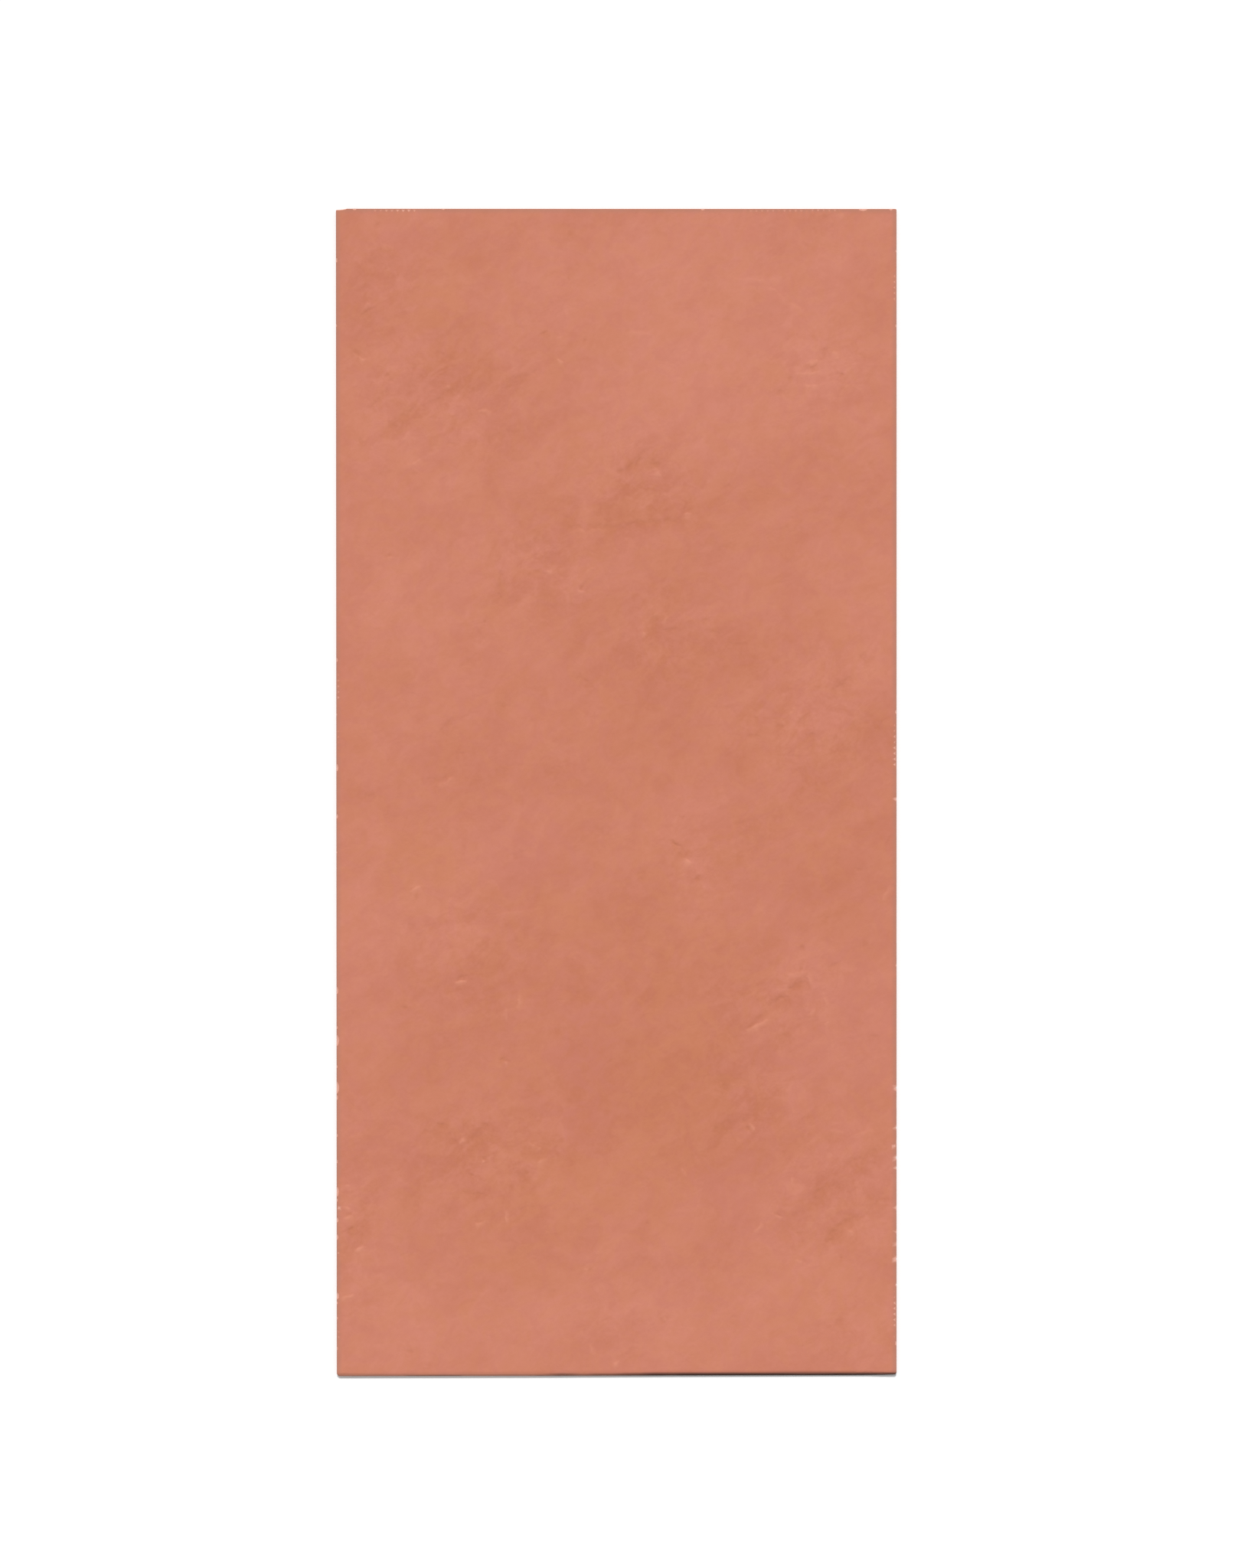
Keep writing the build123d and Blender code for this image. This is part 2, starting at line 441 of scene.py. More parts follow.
# Patches where the skin of the clay is finely wrinkled: (x, y, half width, half height, strength).
WRINKLES = (
    (-380, 851, 180, 120, 1.0),
    (-512, 1091, 80, 90, 0.8),
    (438, 917, 90, 70, 1.0),
    (50, 653, 130, 110, 1.0),
    (-174, 488, 120, 90, 0.9),
    (91, 339, 100, 90, 0.9),
    (422, 165, 150, 140, 1.0),
    (174, -149, 70, 70, 0.9),
    (-322, -339, 120, 150, 0.6),
    (339, -455, 100, 90, 0.9),
    (289, -661, 90, 80, 0.9),
    (-256, -777, 190, 100, 1.0),
    (484, -851, 120, 120, 1.0),
    (-559, -950, 50, 150, 0.8),
    (-8, -1132, 60, 80, 0.5),
    (520, -1149, 80, 70, 0.5),
)

# Pale spalls where small nicks broke the skin at the right edge, given as the wrinkled patches are.
SPALLS = (
    (600, -14, 3, 4, 0.8),
    (600, -633, 3, 5, 1.0),
    (600, -718, 3, 4, 0.8),
    (600, -782, 3, 5, 1.0),
    (600, -804, 3, 3, 0.8),
    (600, -890, 2, 4, 0.9),
    (600, -941, 2, 3, 0.8),
    (600, -968, 2, 4, 0.9),
    (600, -1000, 3, 5, 1.0),
    (600, -1055, 3, 3, 0.9),
)


def length(name, description, default, least=0.0, most=1.0):
    """A setting that is a length in metres."""
    return FloatProperty(
        name=name, description=description, default=default, min=least, max=most, unit="LENGTH",
    )


def share(name, description, default):
    """A setting that is a share of what is listed, up to twice as much."""
    return FloatProperty(name=name, description=description, default=default, min=0.0, max=2.0)


def count(name, description, default, least, most):
    """A setting that is a whole number."""
    return IntProperty(name=name, description=description, default=default, min=least, max=most)


def colour(name, description, default):
    """A setting that is a colour."""
    return FloatVectorProperty(
        name=name, description=description, default=default, subtype="COLOR", size=3, min=0, max=1,
    )


class SlabNet(bpy.types.PropertyGroup):
    """How fine the net of faces is that carries the relief."""

    cell: length("Net Cell", "Side of a net cell on the quiet clay", 12 * MM, least=6 * MM)
    rim_cuts: count("Cuts at the Rim", "Cuts in each net cell along the rounded edge", 2, 0, 5)
    mark_halvings: count("Halvings at a Mark", "How often the net's cells halve towards a mark", 3, 0, 4)
    mark_reach: length("Mark Reach", "How far the first halving goes past the side of a mark", 8 * MM)
    chip_cuts: count("Cuts at a Chip", "Cuts in each wide face of a broken edge", 2, 1, 4)
    strip: length("Narrowest Strip", "Strips of the rounded edge narrower than this are joined", 0.12 * MM)


class ClayRelief(bpy.types.PropertyGroup):
    """The relief that hand trowelling leaves in the clay."""

    deepest: length(
        "Deepest Press", "Most that the relief can go below the top of the slab", 3 * MM, most=4 * MM,
    )
    bed: length("Bed", "Usual depth of the face below the top of the slab", 0.75 * MM)
    swell: length("Swell", "Height of the broad waves left by the trowel", 0.26 * MM)
    ripple: length("Ripple", "Height of the hand-sized ripples", 0.11 * MM)
    drag: length("Drag", "Height of the narrow drag marks along the strokes", 0.06 * MM)
    stroke_angle: FloatProperty(
        name="Stroke Angle", description="Direction of most trowel strokes, from the slab's width",
        default=math.radians(36), subtype="ANGLE",
    )
    wrinkle: length("Wrinkle", "Height of the fine wrinkles in the clay's skin", 0.20 * MM)
    groove_depth: share("Groove Depth", "How deep the grooves are, as a share of their listed depths", 1.25)
    lip_height: share("Lip Height", "How high the lips are, as a share of their listed heights", 1.5)
    wander: length("Wander", "How far the line of a mark wanders from straight", 9 * MM)
    crumble: length("Crumble", "Roughness of the broken faces of chips", 0.35 * MM)


class ClayColours(bpy.types.PropertyGroup):
    """The fired colours of the clay body, with the painted shade and painted highlight laid over them."""

    pale: colour("Pale Clay", "Colour of the palest clay", (0.588, 0.216, 0.1455))
    dark: colour("Dark Clay", "Colour of the darkest clay", (0.494, 0.165, 0.0915))
    rose: colour("Rose Clay", "Colour of clay that fired to a rosier red", (0.518, 0.174, 0.131))
    ochre: colour("Ochre Clay", "Colour of clay that fired to a more ochre red", (0.550, 0.205, 0.099))
    # partly painted shade: the grooves and pits are darkened where shade falls in them, on top of a stain
    # that gathers there
    groove: colour("Groove Stain and Shade", "Colour of the stain in the pressed marks, with shade painted into them", (0.440, 0.142, 0.064))
    # painted highlight: a paler colour on the raised folds, standing in for the light they catch
    lip: colour("Lip Highlight", "Colour of the highlight painted on the raised folds", (0.655, 0.262, 0.170))
    broken: colour("Broken Edge", "Colour of the clay body inside a chip", (0.690, 0.345, 0.262))
    # painted shade: a darker, greyer band where the rounded edge of the face turns from the light
    rim: colour("Painted Rim Shade", "Colour of the shade painted along the rounded rim of the face", (0.410, 0.185, 0.130))
    # painted shade: near black on the low part of the worn foot edge, where the rounded edge turns away from
    # the light
    foot_shade_colour: colour("Painted Foot Shade", "Colour of the shade painted on the low part of the worn foot edge", (0.034, 0.013, 0.009))
    side: colour("Cut Side", "Colour of the cut sides and the back", (0.500, 0.200, 0.128))


class Studio(bpy.types.PropertyGroup):
    """The studio that the slab is photographed in."""

    floor: colour("Floor", "Colour of the pale floor", (0.93, 0.93, 0.93))
    key: FloatProperty(
        name="Key Light", description="Strength of the light from beyond the head of the slab", default=2.47,
        min=0.0,
    )
    key_direction: FloatVectorProperty(
        name="Key Direction", description="Direction towards the key light", subtype="DIRECTION", size=3,
        default=(-0.02, 0.60, 0.80),
    )
    key_softness: FloatProperty(
        name="Key Softness", description="Width of the key light, as an angle", default=math.radians(12),
        subtype="ANGLE",
    )
    fill: FloatProperty(
        name="Fill Light", description="Strength of the even light from all round", default=0.50, min=0.0,
    )


def smooth_step(low, high, values):
    """0 below low, 1 above high and a smooth rise between."""
    risen = np.clip((values - low) / (high - low), 0, 1)
    return risen * risen * (3 - 2 * risen)


def numbers_of(items, name, each=1, kind=float):
    """One number, or a row of a few numbers, for each of a mesh's points, edges, faces or corners."""
    flat = np.empty(len(items) * each, kind)
    items.foreach_get(name, flat)
    return flat if each == 1 else flat.reshape(-1, each)


def points_of(mesh):
    """The mesh's points as rows of x, y and z."""
    return numbers_of(mesh.vertices, "co", 3)


def faces_of(mesh):
    """The middles and the normals of the mesh's faces."""
    return numbers_of(mesh.polygons, "center", 3), numbers_of(mesh.polygons, "normal", 3)


def corners_of(mesh):
    """How many corners each of the mesh's faces has."""
    return numbers_of(mesh.polygons, "loop_total", kind=int)


def pick_faces(mesh, chosen):
    """Select just the chosen faces with their edges and corners, for the next operator in edit mode."""
    picked = np.repeat(chosen, corners_of(mesh))
    for kind, items in (("vertex_index", mesh.vertices), ("edge_index", mesh.edges)):
        touched = numbers_of(mesh.loops, kind, kind=int)
        flags = np.zeros(len(items), bool)
        flags[touched[picked]] = True
        items.foreach_set("select", flags)
    mesh.polygons.foreach_set("select", chosen)


def pick_only(mesh, items, chosen):
    """Select just the chosen points or edges, and no face."""
    pick_faces(mesh, np.zeros(len(mesh.polygons), bool))
    items.foreach_set("select", chosen)


@contextmanager
def edit_mode(pick_by="faces"):
    """Work in edit mode on what is picked as points, edges or faces."""
    modes = tuple(pick_by == kind for kind in ("points", "edges", "faces"))
    bpy.context.tool_settings.mesh_select_mode = modes
    bpy.ops.object.mode_set(mode="EDIT")
    yield
    bpy.ops.object.mode_set(mode="OBJECT")


def copy_of_node(name, piece_name):
    """A copy of a CAD node's mesh, as a closed net with its loose triangles joined."""
    bpy.ops.object.select_all(action="DESELECT")
    node = frame["nodes"][name]
    node.select_set(True)
    bpy.context.view_layer.objects.active = node
    bpy.ops.object.duplicate()
    piece = bpy.context.active_object
    bpy.ops.object.parent_clear(type="CLEAR_KEEP_TRANSFORM")
    del piece["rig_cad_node"]
    piece.name = piece_name
    piece.data.name = piece_name
    with edit_mode():
        bpy.ops.mesh.select_all(action="SELECT")
        bpy.ops.mesh.remove_doubles(threshold=TINY)
        bpy.ops.mesh.dissolve_limited(angle_limit=math.radians(0.5))
    return piece


def cut_across(piece, axis, half, cell, chosen):
    """Cut the chosen faces by evenly spaced upright planes along one axis."""
    cells = round(2 * half / cell)
    normal = tuple(float(axis == k) for k in range(3))
    pick_faces(piece.data, chosen)
    with edit_mode():
        bpy.ops.mesh.hide(unselected=True)
        for step in range(1, cells):
            place = tuple(n * (2 * step / cells - 1) * half for n in normal)
            bpy.ops.mesh.select_all(action="SELECT")
            bpy.ops.mesh.bisect(plane_co=place, plane_no=normal, threshold=CUT_SNAP)
        bpy.ops.mesh.reveal()


def lay_net(piece, net):
    """Lay an even net over the face and the sides, with one level line round the sides."""
    for axis, half in ((0, HALF_WIDTH), (1, HALF_LENGTH)):
        middles, _ = faces_of(piece.data)
        cut_across(piece, axis, half, net.cell, middles[:, 2] > TINY)
    middles, normals = faces_of(piece.data)
    pick_faces(piece.data, (middles[:, 2] > BACK_BEVEL) & (np.abs(normals[:, 2]) < UPRIGHT))
    with edit_mode():
        bpy.ops.mesh.bisect(plane_co=(0, 0, SIDE_CUT), plane_no=(0, 0, 1), threshold=CUT_SNAP)


def close_rim_net(piece, net):
    """Make the net closer across the rounded edge, by cuts in the lines that run along it."""
    mesh = piece.data
    ends = numbers_of(mesh.edges, "vertices", 2, int)
    start, end = points_of(mesh)[ends].transpose(1, 0, 2)
    middle, run = (start + end) / 2, np.abs(end - start)
    chosen = np.zeros(len(run), bool)
    for along, across, half in ((0, 1, HALF_LENGTH), (1, 0, HALF_WIDTH)):
        rim = np.abs(middle[:, across]) > half - 0.5 * net.cell
        chosen |= rim & (run[:, along] > 0.6 * net.cell) & (run[:, across] < 0.1 * net.cell)
    pick_only(mesh, mesh.edges, chosen & (middle[:, 2] > ROUND_START))
    with edit_mode("edges"):
        bpy.ops.mesh.subdivide(number_cuts=net.rim_cuts)


def mend_net():
    """Close the net where an edge doesn't have just two faces, and turn all faces outward."""
    with edit_mode("points"):
        bpy.ops.mesh.select_all(action="DESELECT")
        bpy.ops.mesh.select_non_manifold()
        bpy.ops.mesh.delete(type="EDGE")
        bpy.ops.mesh.select_all(action="SELECT")
        bpy.ops.mesh.fill_holes(sides=0)
        bpy.ops.mesh.select_all(action="SELECT")
        bpy.ops.mesh.normals_make_consistent(inside=False)


def join_narrow_strips(piece, narrowest):
    """Join the strips of the unbroken rounded edge that are too narrow to shade evenly."""
    mesh = piece.data
    points = points_of(mesh)
    rim = (points[:, 2] > ROUND_START) & (edge_distance(points[:, :2]) < THICKNESS - ROUND_START)
    pick_only(mesh, mesh.vertices, rim & (broken_depth(points) < SLIVER))
    with edit_mode("points"):
        bpy.ops.mesh.dissolve_degenerate(threshold=narrowest)
        bpy.ops.mesh.select_all(action="SELECT")
        bpy.ops.mesh.dissolve_degenerate(threshold=SLIVER)
    mend_net()


def split_faces(piece, chosen, cuts):
    """Divide each chosen face into a finer net."""
    if not chosen.any():
        return
    pick_faces(piece.data, chosen)
    with edit_mode():
        bpy.ops.mesh.subdivide(number_cuts=cuts)


def divide_many_sided(piece):
    """Divide the faces with more than four corners into well-shaped triangles."""
    pick_faces(piece.data, corners_of(piece.data) > 4)
    with edit_mode():
        bpy.ops.mesh.quads_convert_to_tris(ngon_method="BEAUTY")
    mend_net()


def all_marks():
    """Every mark as (points, depth, half width) in metres; a lip's depth is below zero."""
    marks = []
    for sign, straight in ((1, GROOVES), (-1, LIPS)):
        for *ends, depth, width in straight:
            marks.append((np.reshape(ends, (2, 2)) * MM, sign * depth * MM, width * MM))
    for points, depth, width in FOLDS:
        marks.append((np.array(points) * MM, depth * MM, width * MM))
    return marks


def beside_line(plan, line):
    """For each point, its distance from a line of points, above zero uphill, and its place along it."""
    spans = np.linalg.norm(np.diff(line, axis=0), axis=1)
    starts = np.concatenate(([0], np.cumsum(spans)))
    nearest = np.full(len(plan), np.inf)
    side = np.ones(len(plan))
    along = np.zeros(len(plan))
    for start, end, span, passed in zip(line[:-1], line[1:], spans, starts):
        run = (end - start) / span
        across = np.array((-run[1], run[0]))
        across = across * np.sign(across @ np.array(UPHILL) + 1e-9)
        offset = plan - start
        place = np.clip(offset @ run, 0, span)
        distance = np.linalg.norm(offset - place[:, None] * run, axis=1)
        closer = distance < nearest
        nearest[closer] = distance[closer]
        side[closer] = np.where(offset[closer] @ across < 0, -1.0, 1.0)
        along[closer] = (passed + place[closer]) / starts[-1]
    return nearest * side, along


def points_around(plan, line, reach):
    """Which points lie in the box round a line of points, widened by the reach."""
    low, high = line.min(axis=0) - reach, line.max(axis=0) + reach
    return np.flatnonzero(np.all((plan > low) & (plan < high), axis=1))


def near_a_mark(plan, reach, portion):
    """Which points lie within a portion of the reach of a mark."""
    near = np.zeros(len(plan), bool)
    for line, _, width in all_marks():
        limit = portion * (reach + 1.2 * width)
        inside = points_around(plan, line, limit)
        distance, _ = beside_line(plan[inside], line)
        near[inside[np.abs(distance) < limit]] = True
    return near


def clouds_at(plan, clouds):
    """The sum of soft round clouds at each point."""
    total = np.zeros(len(plan))
    for x, y, half_width, half_height, strength in clouds:
        reach = ((plan[:, 0] / MM - x) / half_width) ** 2 + ((plan[:, 1] / MM - y) / half_height) ** 2
        total += strength * np.exp(-reach)
    return total


def stretched(plan, wavelength, stretch, angle):
    """The points turned and scaled, so that noise taken there is stretched along the given angle."""
    turn = np.array(((math.cos(angle), math.sin(angle)), (-math.sin(angle), math.cos(angle))))
    return plan @ turn.T / (wavelength * stretch, wavelength)


def waves(plan, wavelength, layer, stretch=1.0, angle=0.0):
    """Even noise between about -1 and 1, with its wavelength in metres; each layer is its own noise."""
    return np.array([noise.noise((u, v, layer)) for u, v in stretched(plan, wavelength, stretch, angle)])


def wrinkles(plan, wavelength, layer, angle):
    """Sharp-crested wrinkles between about 0 and 1, a little stretched along the given angle."""
    places = stretched(plan, wavelength, 1.6, angle)
    crests = [noise.ridged_multi_fractal((u, v, layer), *RIDGES) for u, v in places]
    return np.array(crests) / 2


def wander_off(plan, wander):
    """Each point moved by slow and quick noise, so that straight marks come out crooked."""
    slow = np.stack([waves(plan, 0.040, layer) for layer in (3.7, 13.7)], axis=1)
    quick = np.stack([waves(plan, 0.012, layer) for layer in (9.1, 19.1)], axis=1)
    return plan + (slow + 0.4 * quick) * wander


def mark_relief(plan, relief):
    """The depth of all marks at each point, and how far each point takes a groove's stain and painted shade
    and a lip's painted highlight.
    """
    wandered = wander_off(plan, relief.wander)
    patchy = 0.85 + 0.5 * waves(plan, 0.011, layer=11.5) + 0.3 * waves(plan, 0.006, layer=12.5)
    depth_sum = np.zeros(len(plan))
    groove = np.zeros(len(plan))
    lip = np.zeros(len(plan))
    for line, listed_depth, width in all_marks():
        if listed_depth > 0:
            kind, depth, flanks = groove, listed_depth * relief.groove_depth, GROOVE_FLANKS
        else:
            kind, depth, flanks = lip, listed_depth * relief.lip_height, LIP_FLANKS
        steep, gentle, mark_tint = flanks
        inside = points_around(plan, line, MARK_TAIL * width + relief.wander)
        if not len(inside):
            continue
        distance, along = beside_line(wandered[inside], line)
        spread = np.where(distance > 0, steep, gentle) * width
        taper = (END_DEPTH + (1 - END_DEPTH) * np.sqrt(4 * along * (1 - along))) * patchy[inside]
        depth_sum[inside] += depth * (np.exp(-((distance / spread) ** 2)) * taper)
        tinted = np.exp(-((distance / (mark_tint * spread)) ** 2)) * taper
        kind[inside] = np.maximum(kind[inside], np.minimum(abs(listed_depth) / FULL_TINT, 1) * tinted)
    return depth_sum, groove, lip


def edge_distance(plan):
    """How far inside the nearest straight side each point lies."""
    return np.minimum(HALF_WIDTH - np.abs(plan[:, 0]), HALF_LENGTH - np.abs(plan[:, 1]))


def broken_depth(points):
    """How far each point near the top lies below the slab's unbroken edge, taken as two flat facets."""
    bend = (1 - math.sqrt(0.5)) * ARRIS
    facets = (THICKNESS - ARRIS, THICKNESS - bend, THICKNESS)
    inside = edge_distance(points[:, :2])
    unbroken = np.interp(inside, (0, bend, ARRIS), facets)
    near_top = points[:, 2] > THICKNESS - 3 * ARRIS
    beyond_foot_wear = points[:, 1] > FOOT_WEAR - HALF_LENGTH
    on_side_line = (inside < TINY) & (np.abs(points[:, 2] - SIDE_CUT) < TINY)
    return np.where(near_top & beyond_foot_wear & ~on_side_line, unbroken - points[:, 2], 0)


def painted_rim_shade(plan):
    """How far the shade painted along the rim of the face reaches over each point."""
    uneven = 1 + 0.5 * waves(plan, 0.060, layer=77.5) + 0.3 * waves(plan, 0.014, layer=88.5)
    return np.exp(-((np.maximum(edge_distance(plan), 0) / (RIM_SHADE_REACH * np.clip(uneven, 0.4, 1.6))) ** 2))


def painted_foot_shade(points):
    """How far painted shade covers the low part of the worn foot edge, more and more towards the right."""
    across = points[:, 0] / (2 * HALF_WIDTH) + 0.5
    ragged = across + 0.10 * waves(points[:, :2], 0.050, layer=99.5)
    cover = 0.25 + 0.75 * smooth_step(0.30, 0.62, ragged)
    inside = points[:, 1] + HALF_LENGTH
    return cover * (1 - smooth_step(0.3 * FOOT_SHADE_REACH, FOOT_SHADE_REACH * (0.35 + 0.65 * cover), inside))


def press_down(piece, name, weights, depth):
    """Move the points down by their share of a depth."""
    group = piece.vertex_groups.new(name=name)
    for index in np.flatnonzero(weights > 0):
        group.add((int(index),), float(weights[index]), "REPLACE")
    move = piece.modifiers.new(name, "DISPLACE")
    move.vertex_group = group.name
    move.direction = "Z"
    move.mid_level = 0
    move.strength = -depth
    bpy.context.view_layer.objects.active = piece
    bpy.ops.object.modifier_apply(modifier=name)


def make_net(piece, net, wander):
    """Give the copy of the slab a net that is close at the marks, the wrinkles, the rim and the chips."""
    lay_net(piece, net)
    close_rim_net(piece, net)
    join_narrow_strips(piece, net.strip)
    for halving in range(net.mark_halvings):
        middles, normals = faces_of(piece.data)
        plan = middles[:, :2]
        busy = near_a_mark(wander_off(plan, wander), net.mark_reach, 0.5**halving)
        if halving == 0:
            busy |= clouds_at(plan, WRINKLES) > WRINKLED_SKIN
        split_faces(piece, busy & (normals[:, 2] > LEVEL), 1)
    middles, normals = faces_of(piece.data)
    wide = numbers_of(piece.data.polygons, "area") > WIDE_FACE**2
    chipped = (normals[:, 2] > 0.1) & (broken_depth(middles) > CHIP_DEPTH)
    split_faces(piece, wide & chipped, net.chip_cuts)


def press_relief(piece, relief):
    """Press the trowel's relief into the face, roughen the chips and store what the colours need."""
    points = points_of(piece.data)
    plan, height = points[:, :2], points[:, 2]
    angle = relief.stroke_angle
    marks, groove, lip = mark_relief(plan, relief)
    wrinkled = np.clip(clouds_at(plan, WRINKLES), 0, 1)
    swell = waves(plan, 0.26, layer=0.5, stretch=1.5, angle=angle)
    ripple = waves(plan, 0.10, layer=20.5, stretch=1.8, angle=angle + 0.5)
    ripple += 0.5 * waves(plan, 0.055, layer=31.5, stretch=1.6, angle=angle - 0.7)
    drag = waves(plan, 0.034, layer=42.5, stretch=3.5, angle=angle)
    depth = relief.bed + marks - relief.swell * swell - relief.ripple * ripple - relief.drag * drag
    fine = wrinkles(plan, 0.036, layer=71.5, angle=angle) - 0.5
    depth -= relief.wrinkle * (0.15 + 2.0 * wrinkled) * fine
    skin = smooth_step(THICKNESS - 1.5 * ARRIS, THICKNESS - 0.1 * ARRIS, height)
    spalled = 1.3 * clouds_at(plan, SPALLS) * smooth_step(SIDE_CUT, THICKNESS - ARRIS, height)
    broken = smooth_step(BROKEN_FROM, BROKEN_FULLY, broken_depth(points))
    broken = np.clip(np.maximum(broken, spalled), 0, 1)
    rough = 0.5 + 0.5 * waves(plan, 0.0035, layer=55.5) + 0.3 * waves(plan, 0.0016, layer=66.5)
    crumbled = np.clip(rough, 0, 1) * broken * smooth_step(0, 0.4 * MM, edge_distance(plan))
    press_down(piece, "Press", np.clip(depth / relief.deepest, 0, 1) * skin, relief.deepest)
    press_down(piece, "Crumble", crumbled, relief.crumble)
    for name, values in {
        "cloud": clouds_at(plan, CLOUDS),
        "blush": clouds_at(plan, BLUSHES),
        "wrinkled": wrinkled,
        # stain and painted shade in the grooves
        "groove": groove * skin,
        # painted highlight on the lips
        "lip": lip * skin,
        "broken": broken,
        # painted shade along the rim
        "rim": painted_rim_shade(plan),
        # painted shade on the worn foot edge
        "foot_shaded": painted_foot_shade(points),
        "cut_side": 1 - smooth_step(THICKNESS - 1.3 * ARRIS, THICKNESS - 0.5 * ARRIS, height),
    }.items():
        stored = piece.data.attributes.new(name, "FLOAT", "POINT")
        stored.data.foreach_set("value", values.astype(np.float32))


def add_node(tree, kind, inputs=None, **settings):
    """Add a shader node, set what it is given and join its inputs."""
    made = tree.nodes.new(kind)
    for name, value in settings.items():
        setattr(made, name, value)
    for socket, value in (inputs or {}).items():
        if isinstance(value, bpy.types.NodeSocket):
            tree.links.new(value, made.inputs[socket])
        else:
            made.inputs[socket].default_value = value
    return made


def point_value(tree, name):
    """A value stored on the points of the piece."""
    return add_node(tree, "ShaderNodeAttribute", attribute_name=name).outputs["Fac"]


def clay_noise(tree, place, scale, detail, warp=0.0, kind="FBM"):
    """Soft noise with a given number of waves in a metre."""
    made = add_node(
        tree,
        "ShaderNodeTexNoise",
        {"Vector": place, "Scale": scale, "Detail": detail, "Roughness": 0.58, "Distortion": warp},
        noise_type=kind,
    )
    return made.outputs["Fac"]


def math_node(tree, operation, first, second, third=0.0):
    """One step of arithmetic."""
    made = add_node(tree, "ShaderNodeMath", {0: first, 1: second, 2: third}, operation=operation)
    return made.outputs[0]


def remap(tree, value, low, high, to_low=0.0, to_high=1.0, curve="LINEAR"):
    """Bring a value from one range to another, and stop it at the ends."""
    made = add_node(
        tree,
        "ShaderNodeMapRange",
        {"Value": value, "From Min": low, "From Max": high, "To Min": to_low, "To Max": to_high},
        interpolation_type=curve,
    )
    return made.outputs["Result"]


def blend_colours(tree, amount, first, second):
    """Mix two colours, each a colour or the result of another node."""
    made = tree.nodes.new("ShaderNodeMix")
    made.data_type = "RGBA"
    tree.links.new(amount, made.inputs["Factor"])
    for socket, tint in ((made.inputs[6], first), (made.inputs[7], second)):
        if isinstance(tint, bpy.types.NodeSocket):
            tree.links.new(tint, socket)
        else:
            socket.default_value = (*tint, 1)
    return made.outputs[2]


def clay_patches(tree, place, scale, detail, warp, border):
    """Noise between -1 and 1 that is drawn out into patches with soft borders."""
    value = clay_noise(tree, place, scale, detail, warp)
    return remap(tree, value, 0.5 - border, 0.5 + border, -1.0, 1.0, "SMOOTHSTEP")


def body_colour(tree, along, flat, colours):
    """The colour of the unmarked clay: pale and dark clouds, rose and ochre firing."""
    busy = remap(tree, point_value(tree, "wrinkled"), 0, 1, 0.7, 1.5)
    tone = math_node(tree, "MULTIPLY_ADD", point_value(tree, "cloud"), 0.30, 0.50)
    for scale, detail, warp, border, strength in TONE_PATCHES:
        patches = clay_patches(tree, along if scale < FLAT_SCALE else flat, scale, detail, warp, border)
        amount = math_node(tree, "MULTIPLY", busy, strength) if scale > BUSY_SCALE else strength
        tone = math_node(tree, "MULTIPLY_ADD", patches, amount, tone)
    clay = blend_colours(tree, remap(tree, tone, 0, 1), colours.dark, colours.pale)
    firing = clay_patches(tree, flat, 15.0, 6, 1.2, 0.12)
    blush = remap(tree, point_value(tree, "blush"), -2, 2, -1.5, 1.5)
    hue = math_node(tree, "MULTIPLY_ADD", firing, 0.46, blush)
    clay = blend_colours(tree, remap(tree, hue, 0.0, 2.0, 0.0, 0.9), clay, colours.rose)
    return blend_colours(tree, remap(tree, hue, 0.0, -2.0, 0.0, 0.9), clay, colours.ochre)


def clay_shade(tree, along, flat, colours):
    """The colour of the clay with its grooves stained and darkened by painted shade, its lips lightened by
    painted highlight, cut sides, broken edges, and painted shade along the rim and on the worn foot edge.
    """
    fleck = clay_noise(tree, flat, 95.0, 3)
    mark_tint = math_node(tree, "ADD", remap(tree, fleck, 0.3, 0.7, -0.2, 0.2), point_value(tree, "groove"))
    speckle = remap(tree, fleck, 0.3, 0.7, 0.5, 1.5)
    ragged = math_node(tree, "MULTIPLY", point_value(tree, "broken"), speckle)
    pressed = remap(tree, clay_patches(tree, flat, 9.0, 6, 0.8, 0.16), -1, 1, 0.0, 0.55)
    unseen = blend_colours(tree, pressed, colours.side, colours.dark)
    clay = body_colour(tree, along, flat, colours)
    # Each coat: where it lies, the values at which it starts and is full, its share there and its colour.
    for value, low, high, most, tint in (
        # stain and painted shade in the grooves, with flecks
        (mark_tint, 0.1, 1, 0.42, colours.groove),
        # painted highlight on the lips
        (point_value(tree, "lip"), 0.05, 0.8, 0.65, colours.lip),
        (point_value(tree, "cut_side"), 0, 1, 1, unseen),
        # painted shade along the rim
        (point_value(tree, "rim"), 0, 1, 0.75, colours.rim),
        (ragged, 0.1, 0.7, 0.95, colours.broken),
        # painted shade on the worn foot edge
        (point_value(tree, "foot_shaded"), 0, 1, 0.95, colours.foot_shade_colour),
    ):
        clay = blend_colours(tree, remap(tree, value, low, high, 0, most), clay, tint)
    return clay


